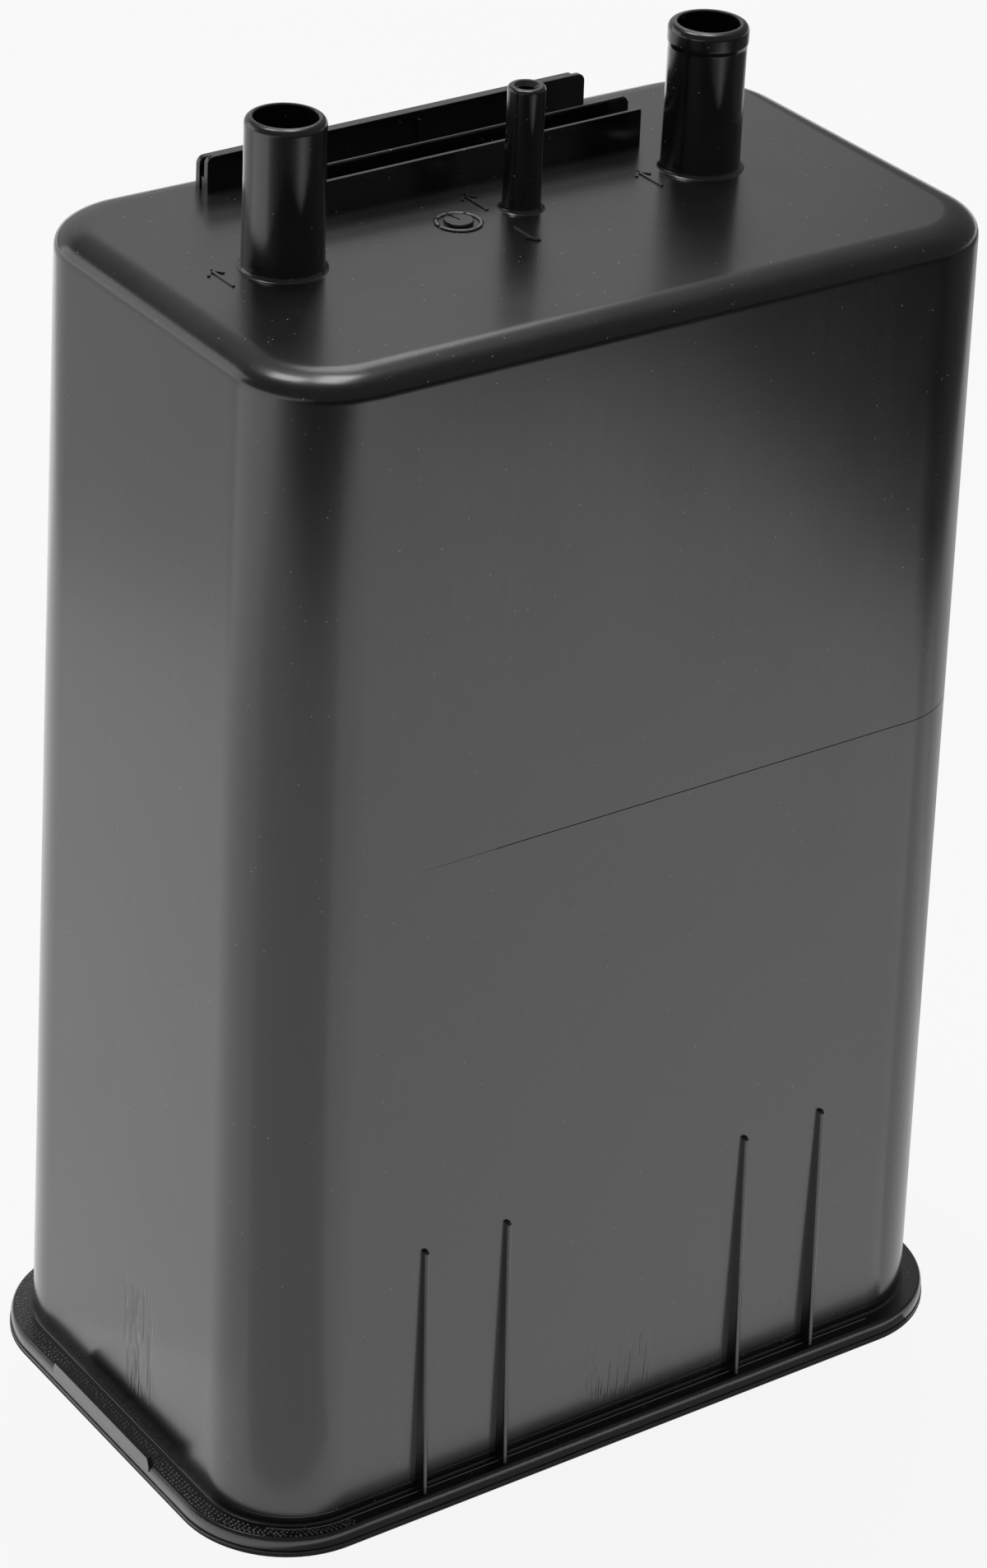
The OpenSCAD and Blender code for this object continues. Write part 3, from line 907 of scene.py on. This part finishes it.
def arrows(bm):
    """Plain raised arrows beside the ports."""
    for x, y, way in ARROWS:
        tip = Vector((x, y + way * ARROW_L / 2))
        stroke(bm, (x, y - way * ARROW_L / 2), tip, ARROW_W, -ARROW_H, ARROW_H)
        for side in (-1, 1):
            barb = tip + Vector((side * BARB_SPREAD, -way)) * BARB
            stroke(bm, barb, tip, ARROW_W, -ARROW_H, ARROW_H)


def all_ports(bm):
    for name, r, h, bead, lip, _, _ in PORTS:
        port(bm, name, r, h, bead, lip)


def all_bores(bm):
    for name, _, h, _, _, r, flare in PORTS:
        bore(bm, name, r, h, flare)


plastic = moulded_plastic(
    "housing_plastic", dark=(0.008, 0.0078, 0.0076), light=(0.012, 0.0114, 0.011),
    rough_low=0.2, rough_high=0.28, dust=0.7,
)
cover_plastic = moulded_plastic(
    "cover_plastic", dark=(0.008, 0.0078, 0.0076), light=(0.013, 0.0124, 0.012),
    rough_low=0.26, rough_high=0.36, dust=0.3,
)

housing = build("housing_moulding", shell)
for name, fill in (
    ("ports", all_ports), ("rails", slide_mount), ("web", web_and_stop), ("ribs", ribs),
    ("lip", flange_lip), ("partitions", partitions), ("dial", insert_dial),
):
    boolean(housing, build(name, fill), "UNION")
for name, fill in (("bores", all_bores), ("insert", insert_cuts)):
    boolean(housing, build(name, fill), "DIFFERENCE")
smooth(housing)
dress(housing, plastic, "housing_plastic", "housing")


# Small pieces on the housing: pimples and a thin raised line on the flange, arrows and a ring on the
# roof; the pimples, line and ring are pale as painted highlights

PIMPLE_R = 0.3
PIMPLE_H = 0.24
PIMPLE_END = -68
PIMPLE_PITCH = 1.1
PIMPLE_ROWS = ((1.5, 1.4), (2.35, 2.0), (3.2, 2.6), (3.9, 3.1))
PIMPLE_MISSING = 0.04
PIMPLE_JITTER = 0.14
PIMPLE_SIZES = (0.75, 1.1)
PIMPLE_FADE = 0.6
LIP_CLEAR = 0.5

# Share of a pimple's radius and height at each ring, and points round it
DOME = ((1.0, -0.05), (0.8, 0.55), (0.4, 0.9))
DOME_STEPS = 8


def pimple(bm, x, y, r, h):
    """Low dome that stands on the flange."""
    rings = [circle(x, y, r * part, FLANGE_Z + h * lift, DOME_STEPS) for part, lift in DOME]
    rows = skin(bm, rings)
    bm.faces.new(list(reversed(rows[0])))
    tip = bm.verts.new((x, y, FLANGE_Z + h))
    for i in range(DOME_STEPS):
        bm.faces.new((rows[-1][i], rows[-1][(i + 1) % DOME_STEPS], tip))


def walk(points, step, start):
    """Places at equal steps along a closed line."""
    left = start
    for (ax, ay), (bx, by) in zip(points, points[1:] + points[:1]):
        length = math.hypot(bx - ax, by - ay)
        while left < length:
            t = left / length
            yield ax + (bx - ax) * t, ay + (by - ay) * t
            left += step
        left -= length


def pimples(bm):
    """Uneven rows of pimples beside the body's foot, which fade out towards the right."""
    low_jitter, high_jitter = -PIMPLE_JITTER, PIMPLE_JITTER
    for row, (out_x, out_y) in enumerate(PIMPLE_ROWS):
        line = outline(BODY_HX + out_x, BODY_HY + out_y, CORNER_R + (out_x + out_y) / 2)
        for x, y in walk(line, PIMPLE_PITCH, PIMPLE_PITCH / 2 * (row % 2)):
            by_lip = abs(y - LIP_Y) < LIP_L / 2 + LIP_CLEAR
            on_lip = x < -FLANGE_HX + LIP_T + PIMPLE_R and by_lip
            if on_lip or x > PIMPLE_END or random.random() < PIMPLE_MISSING:
                continue
            dx = random.uniform(low_jitter, high_jitter)
            dy = random.uniform(low_jitter, high_jitter)
            size = random.uniform(*PIMPLE_SIZES)
            fade = 1 - PIMPLE_FADE * ease(x, -BODY_HX, PIMPLE_END)
            pimple(bm, x + dx, y + dy, PIMPLE_R * size, PIMPLE_H * size * fade)


FOOT_LINE_OUT = 1.2
FOOT_LINE_R = 0.14
FOOT_LINE_SINK = -0.05


def foot_line(bm):
    """Thin raised line on the flange, from the front left corner along the front, pale as a painted
    highlight.
    """
    lines = []
    section = ((-FOOT_LINE_R, FOOT_LINE_SINK), (0, FOOT_LINE_R), (FOOT_LINE_R, FOOT_LINE_SINK))
    for out, z in section:
        reach = FOOT_LINE_OUT + out
        ring = outline(BODY_HX + reach, BODY_HY + reach, CORNER_R + reach)
        run = ring[-CORNER_STEPS // 2:] + ring[:SIDE_X_STEPS]
        lines.append([(x, y, FLANGE_Z + z) for x, y in run])
    solid(bm, list(zip(*lines)))


# Pale plastic on the pimples: a painted highlight, so that they read as glints on the dark flange
pimple_highlight = moulded_plastic(
    "dotted_plastic", dark=(0.2, 0.2, 0.2), light=(0.28, 0.28, 0.28),
    rough_low=0.3, rough_high=0.4, dust=0.3,
)
# Pale plastic on the ring round the insert and on the foot line: a painted highlight for their
# glints
painted_highlight = moulded_plastic(
    "worn_plastic", dark=(0.3, 0.3, 0.29), light=(0.4, 0.4, 0.39),
    rough_low=0.35, rough_high=0.45, dust=0.3,
)
for name, fill, material in (
    ("flange_pimples", pimples, pimple_highlight), ("roof_arrows", arrows, plastic),
    ("insert_ring", insert_bead, painted_highlight), ("foot_flash", foot_line, painted_highlight),
):
    piece = build(name, fill)
    smooth(piece, SMALL_SHARP_DEG)
    dress(piece, material, "housing_plastic")


# Bottom cover

COLLAR_T = 2
FIT = 0.3
SPIGOT_R = 11.7
SPIGOT_T = 1.6
SPIGOT_H = 4
SPIGOT_STEPS = 64
COVER_EDGE = 0.3
COVER_ROOT = 0.5
COVER_WELD_IN = 0.6
COVER_WAVE = 0.16
COVER_SEED = 5.0
SEAM_RISE = 0.12


def cover_plate(bm):
    """Plate with a soft edge and a wavy weld line along its top."""
    rings = []
    for c, s in arc(4, -90, 0):
        rings.append(flange_ring(COVER_EDGE * (1 + s), COVER_EDGE * (1 - c)))
    for c, s in arc(3):
        top = COVER_T - SEAM_LIFT + SEAM_RISE - COVER_EDGE + COVER_EDGE * s
        rings.append(wavy(flange_ring(top, COVER_EDGE * (1 - c)), COVER_WAVE, COVER_SEED))
    rings.append(flange_ring(COVER_T, COVER_EDGE + COVER_WELD_IN))
    solid(bm, rings, flip=True)


def collar(bm):
    """Collar that stands in the mouth of the housing."""
    hx, hy, r = (size - WALL - FIT for size in (half_w(FLANGE_Z), half_d(FLANGE_Z), CORNER_R))
    low, high = COVER_T - COVER_ROOT, COVER_TOP
    rings = []
    for inset, z in ((0, low), (0, high), (COLLAR_T, high), (COLLAR_T, low)):
        rings.append([(x, y, z) for x, y in outline(hx - inset, hy - inset, r - inset)])
    skin(bm, rings, closed=True)


def spring_centres():
    """Middles of the air spring and of the left and right main springs."""
    places = []
    for node in ("air_spring", "main_spring_left", "main_spring_right"):
        low, high = (in_mm(corner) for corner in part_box(node))
        places.append((low + high) / 2)
    return places


def cover_ribs(bm):
    """Two cross ribs between the collar's long sides."""
    _, left, right = spring_centres()
    part_x = (port_place("air_port")[0] + port_place("purge_port")[0]) / 2
    reach = half_d(FLANGE_Z) - WALL - FIT - COLLAR_T / 2
    for x in (part_x, (left.x + right.x) / 2):
        low, high = x - COLLAR_T / 2, x + COLLAR_T / 2
        block(bm, (low, -reach, COVER_T - COVER_ROOT), (high, reach, COVER_TOP))


def spigots(bm):
    """Rings that keep the springs in their places."""
    inner = SPIGOT_R - SPIGOT_T
    section = (
        (SPIGOT_R, -COVER_ROOT), (SPIGOT_R, SPIGOT_H), (inner, SPIGOT_H), (inner, -COVER_ROOT)
    )
    for centre in spring_centres():
        rings = [circle(centre.x, centre.y, r, COVER_T + z, SPIGOT_STEPS) for r, z in section]
        skin(bm, rings, closed=True)


cover = build("bottom_cover_moulding", cover_plate)
for name, fill in (("collar", collar), ("cover_ribs", cover_ribs), ("spigots", spigots)):
    boolean(cover, build(name, fill), "UNION")
smooth(cover)
dress(cover, cover_plastic, "cover_plastic", "bottom_cover")


# Pieces inside keep their solids and get their materials

FILTERS = ("air_filter", "purge_filter", "tank_filter", "air_lower_filter", "main_lower_filter")
INNER = (
    (fleece_material(), FILTERS),
    (carbon_material(), ("air_carbon", "main_carbon")),
    (grid_material(), ("air_grid", "main_grid")),
    (spring_material(), ("air_spring", "main_spring_left", "main_spring_right")),
)
for material, names in INNER:
    for name in names:
        node = frame["nodes"][name]
        node.data.materials.clear()
        node.data.materials.append(material)


# Floor, light and camera

# Camera fitted to the outline of the object
CAMERA_MM = (-506.85, -708.16, 625.99)
CAMERA_AZIMUTH = -35.564
CAMERA_ELEVATION = 29.464
CAMERA_ROLL = 2.742
SENSOR = 36
LENS = 108.77


def camera_axes():
    """Right, up and back directions of the camera."""
    a, e, r = (math.radians(v) for v in (CAMERA_AZIMUTH, CAMERA_ELEVATION, CAMERA_ROLL))
    back = Vector((math.sin(a) * math.cos(e), -math.cos(a) * math.cos(e), math.sin(e)))
    right = Vector((math.cos(a), math.sin(a), 0))
    up = right.cross(-back)
    return (
        math.cos(r) * right + math.sin(r) * up,
        -math.sin(r) * right + math.cos(r) * up,
        back,
    )


def add_camera():
    data = bpy.data.cameras.new("camera")
    data.sensor_fit = "VERTICAL"
    data.sensor_height = SENSOR
    data.lens = LENS
    obj = bpy.data.objects.new("camera", data)
    bpy.context.scene.collection.objects.link(obj)
    axes = Matrix(camera_axes()).transposed().to_4x4()
    obj.matrix_world = Matrix.Translation(Vector(CAMERA_MM) * MM) @ axes
    bpy.context.scene.camera = obj


def plan(across, along, z):
    """Point of the studio from its place across and along the line of sight, in metres."""
    c, s = math.cos(math.radians(CAMERA_AZIMUTH)), math.sin(math.radians(CAMERA_AZIMUTH))
    return Vector((c * across - s * along, s * across + c * along, z))


def sheet(name, corners, material):
    """Flat sheet of the studio."""
    mesh = bpy.data.meshes.new(name)
    mesh.from_pydata([tuple(c) for c in corners], [], [tuple(range(len(corners)))])
    mesh.materials.append(material)
    obj = bpy.data.objects.new(name, mesh)
    bpy.context.scene.collection.objects.link(obj)
    obj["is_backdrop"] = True
    return obj


FLOOR_HALF = 8
FLOOR_LEVEL = 1.0
FLOOR_GLOW = 0.9
PAPER_ROUGH = 0.9


def paper(name, level):
    """Paper that keeps soft shadows and still looks its own grey to the eye and in reflections."""
    n = Nodes(name)
    n.shader.inputs["Base Color"].default_value = (level, level, level, 1)
    n.shader.inputs["Roughness"].default_value = PAPER_ROUGH
    n.shader.inputs["Specular IOR Level"].default_value = 0.0
    path = n.add("ShaderNodeLightPath").outputs
    seen = n.math("ADD", path["Is Camera Ray"], path["Is Glossy Ray"])
    seen = n.math("ADD", seen, path["Is Transmission Ray"])
    glow = n.add("ShaderNodeEmission")
    glow.inputs["Strength"].default_value = level
    mixed = n.add("ShaderNodeMixShader")
    n.link(n.math("MULTIPLY", n.math("MINIMUM", seen, 1.0), FLOOR_GLOW), mixed.inputs[0])
    n.link(n.shader.outputs[0], mixed.inputs[1])
    n.link(glow.outputs[0], mixed.inputs[2])
    n.link(mixed.outputs[0], n.tree.nodes["Material Output"].inputs["Surface"])
    return n.material


SHADE_SHEET_Z = 0.001

# Painted contact shadow round the foot, seen only in reflections: its grey, and its sizes in
# millimetres
SHADE_LEVEL = 0.14
SHADE_IN = 1
SHADE_W = 7
SHADE_SHIFT = 6.5
SHADE_Z = 0.2

# Grey and corners of each sheet of painted shade, across and along the line of sight: seen only in
# reflections, they paint the floor darker round the object
SHADE_SHEETS = {
    "shade_sheet_right": (0.05, ((0.46, 0), (0.46, -0.09), (0.6, -0.21), (0.6, -0.57), (8, -0.57), (8, 0))),
    "shade_sheet_front": (0.03, ((-0.6, -8), (8, -8), (8, -0.57), (-0.6, -0.57))),
    "shade_sheet_near": (0.74, ((-0.06, -0.105), (0, -0.11), (0.22, -0.57), (-0.5, -0.57), (-0.45, -0.33))),
    "shade_sheet_left": (0.58, ((-1.8, 0.03), (-0.44, 0.03), (-0.44, 1.8), (-1.8, 1.8))),
    "shade_sheet_side": (0.87, ((-0.1, -0.12), (-0.44, -0.31), (-0.44, 0.3), (-0.12, 0.3))),
    "shade_sheet_beside": (0.64, ((0.095, 0), (0.46, -0.01), (0.46, 0.12), (0.095, 0.12))),
    "shade_sheet_behind": (0.48, ((0.11, 0.12), (0.46, 0.12), (0.46, 1.3), (0.11, 1.3))),
    "shade_sheet_far": (0.08, ((0.46, 0), (8, 0), (8, 1.3), (0.46, 1.3))),
}


def only_mirrored(obj):
    """Leaves a thing of the studio to reflections alone."""
    obj.visible_camera = False
    obj.visible_diffuse = False
    obj.visible_shadow = False


def add_floor():
    """White floor, and sheets of painted shade and a painted contact shadow round the foot, which
    only show in reflections.
    """
    h = FLOOR_HALF
    corners = [(-h, -h, 0), (h, -h, 0), (h, h, 0), (-h, h, 0)]
    sheet("floor", corners, paper("floor_paper", FLOOR_LEVEL))
    for name, (level, corners) in SHADE_SHEETS.items():
        places = [plan(x, y, SHADE_SHEET_Z) for x, y in corners]
        only_mirrored(sheet(name, places, paper(name, level)))
    outer = [(x + SHADE_SHIFT, y, z) for x, y, z in flange_ring(SHADE_Z, -SHADE_W)]
    shade = build("foot_shade", lambda bm: skin(bm, [flange_ring(SHADE_Z, SHADE_IN), outer]))
    shade.data.materials.append(paper("foot_shade", SHADE_LEVEL))
    shade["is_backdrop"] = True
    only_mirrored(shade)


LAMP_TARGET = Vector((0, 0, 0.26))

# Place across, along and up and size, in metres, and brightness of each box: two high over the
# object, one behind for the roof's edge, and two dim wide ones low down
LAMPS = {
    "left_box": ((-0.41, 0.24, 1.46), (0.38, 0.38), 6.0),
    "right_box": ((0.05, 0.3, 1.46), (0.3, 0.54), 6.0),
    "back_box": ((-0.03, 1.24, 1.38), (0.36, 0.55), 2.0),
    "low_behind": ((-0.7, 1.45, 0.75), (2.1, 0.75), 0.28),
    "low_left": ((-1.4, 0.42, 0.62), (1.0, 0.85), 0.8),
}

# Grey of the world as it lights the object and as the camera sees it
WORLD_LIGHT = 0.12
WORLD_SEEN = 0.9


def softbox(name, place, size, radiance):
    """Area light of a given brightness that faces the object, out of the camera's sight."""
    data = bpy.data.lights.new(name, "AREA")
    data.shape = "RECTANGLE"
    data.size, data.size_y = size
    data.energy = radiance * math.pi * size[0] * size[1]
    obj = bpy.data.objects.new(name, data)
    bpy.context.scene.collection.objects.link(obj)
    obj.location = place
    obj.rotation_euler = (LAMP_TARGET - place).to_track_quat("-Z", "Y").to_euler()
    obj.visible_camera = False


def add_light():
    """The boxes, and a world that is paler to the camera than to the object."""
    for name, (place, size, radiance) in LAMPS.items():
        softbox(name, plan(*place), size, radiance)
    world = bpy.data.worlds.new("studio")
    world.use_nodes = True
    tree = world.node_tree
    seen = tree.nodes.new("ShaderNodeLightPath").outputs["Is Camera Ray"]
    colour = tree.nodes.new("ShaderNodeMapRange")
    colour.inputs["To Min"].default_value = WORLD_LIGHT
    colour.inputs["To Max"].default_value = WORLD_SEEN
    tree.links.new(seen, colour.inputs["Value"])
    tree.links.new(colour.outputs["Result"], tree.nodes["Background"].inputs["Color"])
    bpy.context.scene.world = world


add_camera()
add_floor()
add_light()
bpy.context.scene.view_settings.view_transform = "Standard"

boxes = {"cad": CAD_BOX, "visual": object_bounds()}
{name: [list(corner) for corner in box] for name, box in boxes.items()}
